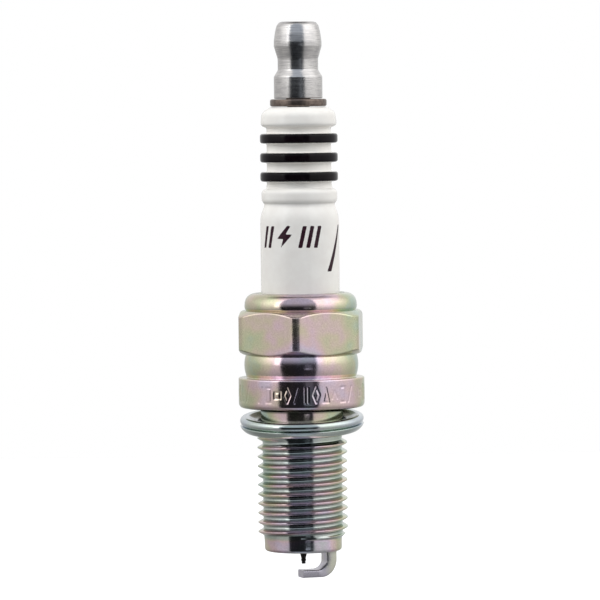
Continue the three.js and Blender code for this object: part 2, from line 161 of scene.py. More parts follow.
def piece(name, skin, body, cad_name, material, crease=32.0):
    """Makes the mesh, gives it its material and lets it stand for its CAD node."""
    mesh = bpy.data.meshes.new(name)
    mesh.from_pydata([[value * MM for value in point] for point in skin.points], [], skin.faces)
    shape = bmesh.new()
    shape.from_mesh(mesh)
    bmesh.ops.recalc_face_normals(shape, faces=shape.faces)
    shape.to_mesh(mesh)
    shape.free()
    mesh.shade_smooth()
    mesh.set_sharp_from_angle(angle=math.radians(crease))
    mesh.materials.append(material)
    made = bpy.data.objects.new(name, mesh)
    bpy.context.scene.collection.objects.link(made)
    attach(made, body)
    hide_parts(cad_name)
    return made


# ---------------------------------------------------------------- screw threads

RIDGE_STEPS = (0.0, 0.08, 0.125, 0.16, 0.22, 0.3, 0.38, 0.42, 0.445, 0.47, 0.5)
RIDGE_HALF = 0.39  # of the pitch, from the middle of the crest to the root
FLANK_WIDTH = 0.34
FLANK_ROUNDING = 0.25
THREAD_STEPS = RIDGE_STEPS + tuple(1 - step for step in reversed(RIDGE_STEPS[1:-1]))


def ridge(step):
    """How far up the flank a row lies, for steps from one root to the next: 0 root, 1 crest."""
    off = abs(step - 0.5)
    climb = min(1.0, max(0.0, (RIDGE_HALF - off) / FLANK_WIDTH))
    return climb * climb * (3 - 2 * climb) * FLANK_ROUNDING + climb * (1 - FLANK_ROUNDING)


def smooth(share):
    share = np.clip(share, 0, 1)
    return share * share * (3 - 2 * share)


def wind_thread(skin, below, above, foot, turns, pitch, root, crest, limit, fade=0.5):
    """Rows that climb one pitch each turn, right-handed, joined to the ring below and the one above."""
    share = np.arange(skin.columns) / skin.columns
    per = len(THREAD_STEPS)
    rows = []
    for row in range(per * turns + 1):
        turn, step = divmod(row, per)
        height = foot + pitch * (turn + THREAD_STEPS[step] + share)
        along = turn + share
        grown = smooth(along / fade) * smooth((turns - along) / fade)
        base = root(height)
        radius = base + (crest - base) * ridge(THREAD_STEPS[step]) * grown
        rows.append(skin.ring(np.minimum(radius, limit(height)), height))
    last = skin.columns - 1
    for low, high in [(below, rows[0]), *zip(rows, rows[1:]), (rows[-1], above)]:
        skin.faces.extend([low[i], low[i + 1], high[i + 1], high[i]] for i in range(last))
    for low, high, up, over in zip(rows, rows[1:], rows[per:], rows[per + 1:]):
        skin.faces.append([low[last], up[0], over[0], high[last]])
    skin.faces.append([below[last], below[0], *(row[0] for row in rows[: per + 1]), rows[0][last]])
    skin.faces.append([*(row[last] for row in rows[: -per - 2 : -1]), rows[-1][0], above[0], above[last]])


# ---------------------------------------------------------------- marks, all plain geometry

MARK_HALF_STROKE = 0.09
MARK_SOFTNESS = 0.08
MARK_DEPTH = 0.055
MARK_CELLS = 40


def loop_of(*corners):
    return tuple((*a, *b) for a, b in zip(corners, corners[1:] + corners[:1]))


BAR = ((0, -1, 0, 1),)
BARS = ((-0.22, -1, -0.22, 1), (0.22, -1, 0.22, 1))
SLASH = ((-0.3, -1, 0.3, 1),)
SQUARE = loop_of((-0.4, -0.4), (0.4, -0.4), (0.4, 0.4), (-0.4, 0.4))
FRAME = loop_of((-0.38, -0.95), (0.38, -0.95), (0.38, 0.95), (-0.38, 0.95))
TRIANGLE = loop_of((-0.42, -0.95), (0.42, -0.95), (0, 0.95))
DIAMOND = loop_of((0, -1), (0.42, 0), (0, 1), (-0.42, 0))
CHEVRON = ((-0.4, -0.5, 0, 0.5), (0, 0.5, 0.4, -0.5))
SPACE = ()
MARK_ORDER = (
    BARS, DIAMOND, TRIANGLE, CHEVRON, FRAME, SLASH, SPACE, SQUARE, BARS, TRIANGLE, SLASH, SPACE,
    SLASH, FRAME, SQUARE, DIAMOND, SLASH, BAR, SPACE, CHEVRON, TRIANGLE, BARS, FRAME,
)


def from_stroke(x, y, stroke):
    """Distance from a straight stroke."""
    x0, y0, x1, y1 = stroke
    length2 = (x1 - x0) ** 2 + (y1 - y0) ** 2
    t = np.clip(((x - x0) * (x1 - x0) + (y - y0) * (y1 - y0)) / length2, 0, 1)
    return np.hypot(x - x0 - t * (x1 - x0), y - y0 - t * (y1 - y0))


def stamped(angles, height):
    """How deep the row of plain marks stamped round the flange goes, at these angles."""
    along = ((angles - FRONT) / FULL_TURN % 1) * MARK_CELLS
    cell = np.floor(along).astype(int)
    x = (along - cell - 0.5) * FULL_TURN * FLANGE_R / MARK_CELLS
    depth = np.zeros_like(x)
    for index in range(MARK_CELLS):
        here = cell == index
        strokes = MARK_ORDER[index % len(MARK_ORDER)]
        if strokes:
            off = np.min([from_stroke(x[here], height, stroke) for stroke in strokes], axis=0)
            struck = MARK_DEPTH * (0.75 + 0.25 * math.sin(index * 1.7))
            depth[here] = struck * smooth((MARK_HALF_STROKE + MARK_SOFTNESS - off) / MARK_SOFTNESS)
    return depth


def inside(x, y, corners):
    """Distance to a polygon's edge, positive inside it."""
    strokes = loop_of(*corners)
    off = np.min([from_stroke(x, y, stroke) for stroke in strokes], axis=0)
    crossings = np.zeros(np.shape(x), int)
    for x0, y0, x1, y1 in strokes:
        spans = (y0 > y) != (y1 > y)
        rise = (y1 - y0) if y1 != y0 else 1.0
        crossings += spans & (x < x0 + (y - y0) * (x1 - x0) / rise)
    return np.where(crossings % 2 == 1, off, -off)


# ---------------------------------------------------------------- metal shell

REACH_THREAD_R = 6.0
REACH_PITCH = 1.25
REACH_ROOT_R = 5.3
REACH_TURNS = 11
REACH_FOOT = -18.17
LEAD_TOP = -17.45  # where the thread starts to grow out of the plain lead
NECK_R = 5.52
NECK_LOW = -1.5
NECK_BLEND_Z = -4.0  # where the thread's root starts to widen into the neck
LEAD_R = 5.17
BORE_R = 3.45
NOSE_BORE_R = 4.25
SEAT_BORE_R = 6.15
HEX_BOTTOM = 7.15
HEX_TOP = 13.0
HEX_FLAT_R = 8.0
HEX_CORNER_R = 9.0
HEX_CHAMFER_R = 7.75
CHAMFER_SLOPE = math.tan(math.radians(30))
DULLED_EDGE = 0.07
CRIMP_R = 7.5
CRIMP_LIP_R = 5.42
CRIMP_ROLL = 1.68
BUCKLE_R = 7.42
FLANGE_TOP = 4.05
MARK_Z = 2.05
MARK_ROWS = 27
MARK_SPAN = 2.5
MARK_FINER = 4


def hexagon_rings(skin):
    """Chamfer arcs and flats. Rows close to each edge keep the dulled edge narrow and the flats flat."""
    from_flat = (skin.angles() - HEX_TURNED) % (FULL_TURN / 6) - FULL_TURN / 12
    radius = np.minimum(HEX_FLAT_R / np.cos(from_flat), HEX_CORNER_R)
    chamfer = (radius - HEX_CHAMFER_R) * CHAMFER_SLOPE

    def half(end, inwards):
        rows = [(HEX_CHAMFER_R - DULLED_EDGE, end)]
        for share in (0.05, 0.12, 0.8, 0.93):
            at = HEX_CHAMFER_R + (radius - HEX_CHAMFER_R) * share
            rows.append((at, end + inwards * chamfer * share))
        rows += [(radius, end + inwards * (chamfer + DULLED_EDGE * past)) for past in (1, 2.5)]
        return rows

    rows = half(HEX_BOTTOM, 1) + half(HEX_TOP, -1)[::-1]
    return [skin.ring(at, height) for at, height in rows]


def metal_shell(material):
    skin = Skin(COLUMNS, HEX_TURNED)
    end = [
        [BORE_R, END_Z + 0.15],
        [BORE_R + 0.12, END_Z],
        [LEAD_R, END_Z, 0.5],
        [LEAD_R, REACH_FOOT - 0.06],
    ]
    below = [skin.ring(radius, height) for radius, height in outline(end)]
    neck = [
        [NECK_R, REACH_FOOT + REACH_PITCH * (REACH_TURNS + 1) + 0.1],
        [NECK_R, NECK_LOW],
        [NECK_R, 0, 0.6],
        [FLANGE_R, 0, 0.72],
        [FLANGE_R, MARK_Z - MARK_SPAN / 2 - 0.06],
    ]
    above = [skin.ring(radius, height) for radius, height in outline(neck)]
    skin.stack(below)
    skin.stack(above)

    def root(z):
        from_lead = (REACH_ROOT_R - LEAD_R) * smooth((z - LEAD_TOP) / 0.5)
        return LEAD_R + from_lead + (NECK_R - REACH_ROOT_R) * smooth((z - NECK_BLEND_Z) / 0.9)

    wind_thread(
        skin, below[-1], above[0], REACH_FOOT, REACH_TURNS, REACH_PITCH,
        root=root,
        crest=REACH_THREAD_R,
        limit=lambda z: LEAD_R + np.maximum(z - LEAD_TOP, 0),
        fade=0.25,
    )
    fine_angles = skin.angles(MARK_FINER)
    marks = []
    for row in range(MARK_ROWS):
        height = (row / (MARK_ROWS - 1) - 0.5) * MARK_SPAN
        radius = FLANGE_R - stamped(fine_angles, height)
        marks.append(skin.ring(radius, MARK_Z + height, MARK_FINER))
    upper = [
        [FLANGE_R, MARK_Z + MARK_SPAN / 2 + 0.06],
        [FLANGE_R, FLANGE_TOP, 0.22],
        [BUCKLE_R - 0.06, FLANGE_TOP, 0.08],
        [BUCKLE_R - 0.09, FLANGE_TOP + 0.1],
        [BUCKLE_R + 0.38, (FLANGE_TOP + HEX_BOTTOM) / 2 + 0.1, 1.32],
        [BUCKLE_R - 0.03, HEX_BOTTOM, 0.05],
    ]
    shoulder = [skin.ring(radius, height) for radius, height in outline(upper)]
    crimp = [
        [CRIMP_R - 0.18, HEX_TOP, 0.05],
        [CRIMP_R, HEX_TOP + 0.3, 0.2],
        [CRIMP_R, CRIMP_TOP, CRIMP_ROLL],
        [CRIMP_LIP_R, CRIMP_TOP, 0.5],
        [CRIMP_LIP_R, 14.5],
        [SEAT_BORE_R, 14.15],
        [SEAT_BORE_R, 3.2],
        [NOSE_BORE_R, 1.4],
        [NOSE_BORE_R, -7.9],
        [BORE_R, -8.8],
    ]
    inner = [skin.ring(radius, height) for radius, height in outline(crimp)]
    skin.stack([above[-1], *marks, *shoulder, *hexagon_rings(skin), *inner, below[0]])
    return piece("shell_of_plated_steel", skin, "plug_body", "metal_shell", material)


# ---------------------------------------------------------------- insulator

BODY_R = 5.25
RIB_R = 5.18
RIB_WIDTH = 1.2
RIB_PITCH = 2.54
TOP_RIB_Z = 35.87
GROOVE_R = 4.3
DOME_R = 5.08
COLLAR_R = 5.05  # the white rib under the painted ones
WAIST_R = 4.69
STEP_R = 6.03  # held inside the shell
NOSE_R = 4.1
STUD_HOLE_R = 1.6
ELECTRODE_HOLE_R = 1.12
PAINTED_RIBS = [TOP_RIB_Z - index * RIB_PITCH for index in range(3)]
PRINT_LOW = 17.9
PRINT_HIGH = 24.48
PRINT_ROWS = 56
PRINT_MIDDLE = 22.85
PAINT_CHANGE_Z = 26.0  # ink below, the ribs' paint above
BOLT = ((0.4, 1.5), (-1.15, -0.25), (-0.2, -0.25), (-0.6, -1.5), (1.1, 0.35), (0.15, 0.35), (0.9, 1.5))
BLOCK = ((-0.6, -1.45), (-0.05, -1.45), (0.6, 1.45), (0.05, 1.45))
STREAK = ((-1.75, -3.1), (-0.95, -3.1), (1.6, 3.05), (1.05, 3.05))
PRINT = (
    *((across, PRINT_MIDDLE, BLOCK) for across in (-5.3, -4.25)),
    (-2.1, PRINT_MIDDLE, BOLT),
    *((across, PRINT_MIDDLE, BLOCK) for across in (0.35, 1.4, 2.45)),
    (5.7, 21.3, STREAK),
)


def painted_ribs():
    corners = []
    for middle in PAINTED_RIBS:
        top, bottom = middle + RIB_WIDTH / 2, middle - RIB_WIDTH / 2
        corners += [[GROOVE_R, top + 0.12, 0.16], [RIB_R, top, 0.34], [RIB_R, bottom, 0.34]]
        corners += [[GROOVE_R, bottom - 0.12, 0.16]]
    return corners


def paint_on(points):
    """Distance inside the paint for each point, negative off it: the ribs' bands and the print."""
    x, y, z = np.array(points, float).T
    radius = np.hypot(x, y)
    paint = np.full(len(points), -1.0)
    for middle in PAINTED_RIBS:
        band = np.minimum(RIB_WIDTH / 2 + 0.02 - np.abs(z - middle), radius - GROOVE_R - 0.25)
        paint = np.maximum(paint, band)
    across = BODY_R * ((np.arctan2(y, x) - FRONT + math.pi) % FULL_TURN - math.pi)
    for middle, height, corners in PRINT:
        shape = inside(across - middle, z - height, corners)
        paint = np.maximum(paint, np.where(radius > BODY_R - 0.3, shape, -1.0))
    return paint


def insulator(material):
    skin = Skin(COLUMNS)
    upper = [
        [STUD_HOLE_R, INSULATOR_HIGH.z],
        [3.75, INSULATOR_HIGH.z, 0.3],
        [DOME_R - 0.13, INSULATOR_HIGH.z - 0.7, 0.62],
        [DOME_R, 37.55, 0.45],
        [GROOVE_R, 37.3, 0.2],
        *painted_ribs(),
        [GROOVE_R + 0.1, 29.25, 0.15],
        [COLLAR_R, 28.95, 0.42],
        [COLLAR_R, 27.5, 0.42],
        [WAIST_R, 27.2, 0.2],
        [WAIST_R + 0.05, 26.8, 0.15],
        [BODY_R - 0.05, 25.75, 0.8],
        [BODY_R, PRINT_HIGH + 0.05],
    ]
    lower = [
        [BODY_R, PRINT_LOW - 0.1],
        [BODY_R, 9.2],
        [STEP_R, 8.6, 0.3],
        [STEP_R, 3.6, 0.3],
        [NOSE_R, 1.9, 0.2],
        [NOSE_R, -7.35, 0.2],
        [3.15, -8.35, 0.2],
        [2.05, INSULATOR_LOW.z, 0.4],
        [ELECTRODE_HOLE_R, INSULATOR_LOW.z, 0.05],
        [ELECTRODE_HOLE_R, -5.7],
        [STUD_HOLE_R, -5.3],
    ]
    rings = [skin.ring(radius, height) for radius, height in outline(upper)]
    for row in range(PRINT_ROWS + 1):
        rings.append(skin.ring(BODY_R, PRINT_HIGH + (PRINT_LOW - PRINT_HIGH) * row / PRINT_ROWS))
    rings += [skin.ring(radius, height) for radius, height in outline(lower)]
    skin.stack(rings, closed=True)
    made = piece("ceramic_insulator", skin, "plug_body", "insulator", material)
    paint = made.data.attributes.new("paint", "FLOAT", "POINT")
    paint.data.foreach_set("value", paint_on(skin.points).astype(np.float32))
    return made


# ---------------------------------------------------------------- terminal

STUD_BORE_R = 2.06
NUT_HEAD_R = 3.18
NUT_WAIST_R = 2.69
STUD_PITCH = 0.7
STUD_ROOT_R = 1.62
STUD_CREST_R = 1.95
STUD_TURNS = 6
STUD_FLANGE_TOP = 41.1
SHANK_R = 1.5
KEYING_GROOVES = 3
KEYING_FOOT = 2.2
KEYING_PITCH = 0.9
KEYING_DEPTH = 0.2


def terminal_nut(material):
    corners = [
        [0, NUT_LOW.z + 8.35],
        [STUD_BORE_R, NUT_LOW.z + 7.15],
        [STUD_BORE_R, NUT_LOW.z + 0.35],
        [STUD_BORE_R + 0.3, NUT_LOW.z],
        [NUT_HIGH.x, NUT_LOW.z, 0.14],
        [NUT_HIGH.x, 44.08, 0.14],
        [NUT_WAIST_R, 44.95, 0.15],
        [NUT_WAIST_R, 46.45, 0.2],
        [NUT_HEAD_R, 48.12, 0.07],
        [NUT_HEAD_R, 48.7, 0.2],
        [2.99, 50.25, 0.7],
        [2.7, 51.1, 0.35],
        [2.25, NUT_HIGH.z, 0.3],
        [0, NUT_HIGH.z],
    ]
    skin = turned(corners, 128)
    return piece("turned_terminal_nut", skin, "screw_on_nut", "terminal_nut", material)


def terminal_stud(material):
    skin = Skin(SMALL_COLUMNS)
    foot = STUD_FLANGE_TOP + 0.42
    top = foot + STUD_PITCH * (STUD_TURNS + 1)
    keyed = []
    for groove in range(KEYING_GROOVES):
        z = STUD_LOW.z + KEYING_FOOT + groove * KEYING_PITCH
        keyed += [[SHANK_R, z], [SHANK_R - KEYING_DEPTH, z + 0.25]]
        keyed += [[SHANK_R - KEYING_DEPTH, z + 0.45], [SHANK_R, z + 0.7]]
    lower = [
        [0, STUD_LOW.z],
        [0.9, STUD_LOW.z],
        [1.1, STUD_LOW.z + 0.3],
        [1.1, STUD_LOW.z + 2],
        *keyed,
        [SHANK_R, INSULATOR_HIGH.z + 0.06],
        [STUD_HIGH.x, INSULATOR_HIGH.z + 0.06, 0.3],
        [STUD_HIGH.x, STUD_FLANGE_TOP, 0.3],
        [STUD_ROOT_R, STUD_FLANGE_TOP, 0.1],
        [STUD_ROOT_R, foot - 0.08],
    ]
    upper = [
        [STUD_ROOT_R, top + 0.08],
        [STUD_ROOT_R, STUD_HIGH.z - 0.15],
        [STUD_ROOT_R - 0.2, STUD_HIGH.z],
        [0, STUD_HIGH.z],
    ]
    below = [skin.ring(radius, height) for radius, height in outline(lower)]
    above = [skin.ring(radius, height) for radius, height in outline(upper)]
    skin.stack(below)
    skin.stack(above)
    wind_thread(
        skin, below[-1], above[0], foot, STUD_TURNS, STUD_PITCH,
        root=lambda z: STUD_ROOT_R + 0 * z,
        crest=STUD_CREST_R,
        limit=lambda z: STUD_ROOT_R + np.maximum(STUD_HIGH.z - z, 0) * 0.7,
    )
    return piece("threaded_terminal_stud", skin, "plug_body", "terminal_stud", material)


# ---------------------------------------------------------------- gasket

GASKET_R = 8.25
LIP_R = 5.85
SEAM_HEIGHT = -0.08
GASKET_HALF = 1.08
FOLD_R = 0.58


def gasket(material):
    """Sheet steel folded in on itself: two rolled turns that meet in a dark line round the rim."""
    corners = [
        [LIP_R, -0.5, 0.15],
        [LIP_R + 0.5, -GASKET_HALF, 0.2],
        [GASKET_R - 0.75, -GASKET_HALF, 0.4],
        [GASKET_R - 0.1, -0.46, 0.28],
        [GASKET_R - 0.02, SEAM_HEIGHT - 0.06, 0.12],
        [GASKET_R - 0.5, SEAM_HEIGHT - 0.02],
        *arc(GASKET_R - FOLD_R, GASKET_HALF - FOLD_R, FOLD_R, -78, 85, 12),
        [GASKET_R - 1.1, GASKET_HALF - 0.05, 0.2],
        [LIP_R + 0.6, 0.65, 0.3],
        [LIP_R, 0.5, 0.12],
    ]
    skin = turned(corners, COLUMNS, closed=True)
    middle = (GASKET_LOW + GASKET_HIGH) / 2
    skin.points = [tuple(middle + GASKET_TILT @ Vector(point)) for point in skin.points]
    return piece("folded_sealing_ring", skin, "sealing_ring", "gasket", material, 40.0)


# ---------------------------------------------------------------- firing end

STRAP_DIRECTION = math.radians(20)
STRAP_OUTER_R = 4.35
STRAP_WIDE = 2.3
STRAP_EDGE = 0.2
LEG_THICK = 1.45
ARM_THICK = 1.02
PAST_AXIS = 0.42
ARM_TAPER = 0.1
# places down the leg, as a share of it, and how far the weld bulges there
WELD_FLASH = ((0, 0.14), (0.06, 0.12), (0.14, 0.03), (0.25, 0), (0.5, 0), (0.75, 0))
INNER_BEND = (1.25, 1.25)
OUTER_BEND = (2.15, 2.4)
BEND_STEPS = 20
ARM_STEPS = 8
EDGE_STEPS = 4


def strap_stations():
    """Pairs of points on the inner and outer side, and the width there, from the weld to the tip."""
    root_z = END_Z - 0.03
    inner_r = STRAP_OUTER_R - LEG_THICK
    inner_mid = Vector((inner_r - INNER_BEND[0], STRAP_LOW.z + ARM_THICK + INNER_BEND[1]))
    outer_mid = Vector((STRAP_OUTER_R - OUTER_BEND[0], STRAP_LOW.z + OUTER_BEND[1]))
    for share, flash in WELD_FLASH:
        inner = Vector((inner_r - flash / 3, root_z + (inner_mid.y - root_z) * share))
        outer = Vector((STRAP_OUTER_R + flash, root_z + (outer_mid.y - root_z) * share))
        yield inner, outer, STRAP_WIDE + 2 * flash
    for step in range(BEND_STEPS + 1):
        cos, sin = math.cos(step / BEND_STEPS * math.pi / 2), math.sin(step / BEND_STEPS * math.pi / 2)
        inner = inner_mid + Vector((INNER_BEND[0] * cos, -INNER_BEND[1] * sin))
        outer = outer_mid + Vector((OUTER_BEND[0] * cos, -OUTER_BEND[1] * sin))
        yield inner, outer, STRAP_WIDE
    for step in range(1, ARM_STEPS + 1):
        share = step / ARM_STEPS
        inner = Vector((inner_mid.x - (inner_mid.x + PAST_AXIS) * share, STRAP_LOW.z + ARM_THICK))
        outer = Vector((outer_mid.x - (outer_mid.x + PAST_AXIS) * share, STRAP_LOW.z))
        yield inner, outer, STRAP_WIDE * (1 - ARM_TAPER * share)


def strap_section(inner, outer, wide):
    """A rectangle with rounded edges between the two sides: points as (out, across, up)."""
    middle = (inner + outer) / 2
    through = (outer - inner).normalized()
    half_thick = (outer - inner).length / 2 - STRAP_EDGE
    points = []
    for corner, (side, across) in enumerate(((1, 1), (-1, 1), (-1, -1), (1, -1))):
        for step in range(EDGE_STEPS + 1):
            turn = (corner + step / EDGE_STEPS) * math.pi / 2
            place = middle + through * (side * half_thick + STRAP_EDGE * math.cos(turn))
            sideways = across * (wide / 2 - STRAP_EDGE) + STRAP_EDGE * math.sin(turn)
            points.append((place.x, sideways, place.y))
    return points


def ground_electrode(material):
    """The strap, swept from its weld on the shell's end face round the bend to its tip."""
    skin = Skin(1)
    rings = []
    cos, sin = math.cos(STRAP_DIRECTION), math.sin(STRAP_DIRECTION)
    for inner, outer, wide in strap_stations():
        start = len(skin.points)
        for out, across, up in strap_section(inner, outer, wide):
            skin.points.append((out * cos - across * sin, out * sin + across * cos, up))
        rings.append(list(range(start, len(skin.points))))
    skin.stack(rings)
    skin.faces += [rings[0], rings[-1]]
    return piece("bent_ground_strap", skin, "plug_body", "ground_electrode", material, 50.0)


ELECTRODE_R = 1.03
ELECTRODE_HEAD_R = 1.48
ELECTRODE_NECK_R = 1.1
ELECTRODE_TOP = -2.7
CORE_R = 0.62


def centre_electrode(material):
    foot = TIP_HIGH.z + 0.02
    corners = [
        [0, foot],
        [TIP_HIGH.x + 0.02, foot, 0.02],
        [0.46, foot + 0.75, 0.15],
        [ELECTRODE_R, -19.0, 0.12],
        [ELECTRODE_R, -5.3],
        [ELECTRODE_HEAD_R, -5.0],
        [ELECTRODE_HEAD_R, -4.3],
        [ELECTRODE_NECK_R, -3.9],
        [ELECTRODE_NECK_R, ELECTRODE_TOP],
        [CORE_R, ELECTRODE_TOP],
        [CORE_R, -16.9],
        [0, -17.5],
    ]
    skin = turned(corners, 64)
    return piece("nickel_electrode", skin, "plug_body", "centre_electrode", material)


def iridium_tip(material):
    corners = [
        [0, TIP_LOW.z],
        [TIP_HIGH.x, TIP_LOW.z, 0.05],
        [TIP_HIGH.x, TIP_HIGH.z],
        [0, TIP_HIGH.z],
    ]
    return piece("fine_wire_tip", turned(corners, 48), "plug_body", "iridium_tip", material)


WELD_SPOTS = 8
SPOT_BULGE = 0.25


def tip_weld(material):
    """Overlapping laser spots leave the bead scalloped."""
    skin = Skin(SMALL_COLUMNS)
    scallop = 1 + SPOT_BULGE * np.abs(np.sin(WELD_SPOTS / 2 * skin.angles()))
    inner = TIP_HIGH.x + 0.02
    profile = [(0, -0.24), (0.035, -0.22), (0.055, -0.16), (0.055, -0.09), (0.035, -0.03), (0, 0)]
    rings = [skin.ring(inner + out * scallop, TIP_HIGH.z + rise) for out, rise in profile]
    skin.stack(rings, closed=True)
    return piece("scalloped_weld_bead", skin, "plug_body", "tip_weld_ring", material)


# ---------------------------------------------------------------- materials

def node(tree, kind, values=None, **settings):
    """Adds a shader node. A value that is a socket is linked, and any other is set."""
    made = tree.nodes.new(kind)
    for name, value in settings.items():
        setattr(made, name, value)
    for name, value in (values or {}).items():
        if isinstance(value, bpy.types.NodeSocket):
            tree.links.new(value, made.inputs[name])
        else:
            made.inputs[name].default_value = value
    return made


def maths(tree, operation, *values):
    return node(tree, "ShaderNodeMath", dict(enumerate(values)), operation=operation).outputs[0]


def total(tree, first, *others):
    for other in others:
        first = maths(tree, "ADD", first, other)
    return first


def product(tree, first, *others):
    for other in others:
        first = maths(tree, "MULTIPLY", first, other)
    return first


def new_material(name, **settings):
    made = bpy.data.materials.new(name)
    made.use_nodes = True
    shader = made.node_tree.nodes["Principled BSDF"]
    for socket, value in settings.items():
        shader.inputs[socket.replace("_", " ")].default_value = value
    return made, made.node_tree, shader


def places(tree):
    """Places on the piece in millimetres: as a vector, and its three numbers."""
    values = {0: node(tree, "ShaderNodeTexCoord").outputs["Object"], "Scale": 1 / MM}
    scaled = node(tree, "ShaderNodeVectorMath", values, operation="SCALE").outputs[0]
    apart = node(tree, "ShaderNodeSeparateXYZ", {0: scaled})
    return scaled, apart.outputs


def noise(tree, vector, scale, detail, roughness=0.55):
    values = {"Vector": vector, "Scale": scale, "Detail": detail, "Roughness": roughness}
    return node(tree, "ShaderNodeTexNoise", values).outputs["Fac"]


def spread(tree, value, low, high, to_low=0.0, to_high=1.0):
    values = {"Value": value, "From Min": low, "From Max": high, "To Min": to_low, "To Max": to_high}
    return node(tree, "ShaderNodeMapRange", values).outputs[0]


def ramp(tree, factor, *stops):
    """Colours at places from 0 to 1, as (place, (r, g, b))."""
    made = node(tree, "ShaderNodeValToRGB", {"Fac": factor})
    elements = made.color_ramp.elements
    for index, (place, colour) in enumerate(stops):
        element = elements[index] if index < len(elements) else elements.new(place)
        element.position = place
        element.color = (*colour, 1)
    return made.outputs["Color"]


def blend(tree, factor, one, other, mode="MIX"):
    made = node(tree, "ShaderNodeMix", data_type="RGBA", blend_type=mode)
    for name, value in {"Factor": factor, "A": one, "B": other}.items():
        if isinstance(value, bpy.types.NodeSocket):
            tree.links.new(value, made.inputs[name])
        else:
            made.inputs[name].default_value = value if isinstance(value, float) else (*value, 1)
    return made.outputs["Result"]


def bumped(tree, shader, height, strength, distance):
    values = {"Height": height, "Strength": strength, "Distance": distance}
    tree.links.new(node(tree, "ShaderNodeBump", values).outputs[0], shader.inputs["Normal"])


def axis_distance(tree, x, y):
    return maths(tree, "SQRT", total(tree, product(tree, x, x), product(tree, y, y)))


def plating_film_and_sheen(tree, vector, x, y, z, cloud_scale):
    """Which tint shows, from 0 to 1, drifting in clouds.

    It is higher at the front, at the back and on the lead, and lower on the neck and above the flange. The
    rise at the front and back is a painted sheen, standing for the film's colour change with the viewing
    angle.
    """
    bearing = maths(tree, "ARCTAN2", x, product(tree, y, -1.0))
    # Painted sheen: the tint turns with the bearing from the front, standing for the film's colour change
    # with the viewing angle.
    sides = maths(tree, "COSINE", product(tree, bearing, 2.0))
    on_neck = product(tree, spread(tree, z, 0.1, -0.2), spread(tree, z, -2.6, -2.2))
    return total(
        tree,
        spread(tree, noise(tree, vector, cloud_scale, 2.0, 0.6), 0.3, 0.7, 0.2, 0.75),
        product(tree, sides, 0.3),
        product(tree, on_neck, -0.18),
        spread(tree, z, LEAD_TOP + 0.05, LEAD_TOP - 0.35, 0.0, 0.2),
        spread(tree, z, FLANGE_TOP + 0.05, FLANGE_TOP + 0.55, 0.0, -0.11),
    )


def plating_shade(tree, vector, radius, z, shaded_inside):
    """How bright the plating is: speckled, with painted shade in the corner between the neck and the
    flange.

    On the inner half of a ring's upper side it falls to the inside level given, which is painted shade
    under the flange.
    """
    speckle = spread(tree, noise(tree, vector, 5.0, 4.0), 0.3, 0.75, 0.88, 1.06)
    # Painted shade: the inner half of a ring's upper side is darker, as if shaded and dimly reflected
    # under the flange. The lower side is left as it is.
    outer = spread(tree, radius, 6.2, 7.7, shaded_inside, 1.0)
    underneath = spread(tree, z, -1.9, -2.4)
    # Painted shade: the plating is darker in the corner where the flange overhangs the neck.
    corner_shade = product(
        tree,
        spread(tree, radius, 6.6, 6.3),
        spread(tree, z, -0.65, -0.35),
        spread(tree, z, 0.3, 0.1, 0.0, 0.75),
    )
    unshaded = maths(tree, "SUBTRACT", 1.0, corner_shade)
    return product(tree, speckle, maths(tree, "MAXIMUM", outer, underneath), unshaded)


def plated_steel(name, tints, roughness, cloud_scale=0.22, shaded_inside=1.0):
    """Bright plating whose film drifts between tints, with a painted sheen that turns with the bearing. It
    is pale green and darker in the roots of the screw thread and on the neck, which is partly painted
    shade.

    It has fine pitting and handling marks, painted shade in the corner under the flange, and the hexagon's
    corners are rubbed.
    """
    material, tree, shader = new_material(name, Metallic=1.0)
    vector, (x, y, z) = places(tree)
    radius = axis_distance(tree, x, y)
    film = plating_film_and_sheen(tree, vector, x, y, z, cloud_scale)
    colour = ramp(tree, film, *((index / (len(tints) - 1), tint) for index, tint in enumerate(tints)))
    # Part plating colour and part painted shade: a greener, darker tint in the thread's roots and on the
    # neck under the sealing ring, where these recesses are shaded.
    root_tint_and_shade = product(
        tree,
        spread(tree, radius, REACH_ROOT_R + 0.45, REACH_ROOT_R + 0.1),
        spread(tree, z, -1.9, -2.3),
        spread(tree, z, LEAD_TOP - 0.15, LEAD_TOP + 0.25, 0.0, 0.75),
    )
    colour = blend(tree, root_tint_and_shade, colour, ROOT_TINT_AND_SHADE)
    shade = plating_shade(tree, vector, radius, z, shaded_inside)
    grey = node(tree, "ShaderNodeCombineColor", {"Red": shade, "Green": shade, "Blue": shade}).outputs[0]
    tree.links.new(blend(tree, 1.0, colour, grey, "MULTIPLY"), shader.inputs["Base Color"])
    wear = noise(tree, vector, 1.3, 5.0, 0.7)
    rubbed = spread(tree, radius, HEX_CORNER_R - 0.3, HEX_CORNER_R - 0.05, 0.0, 0.14)
    worn = spread(tree, wear, 0.35, 0.75, roughness - 0.04, roughness + 0.08)
    tree.links.new(total(tree, worn, rubbed), shader.inputs["Roughness"])
    bumped(tree, shader, noise(tree, vector, 7.0, 3.0), 0.2, 0.015 * MM)
    return material


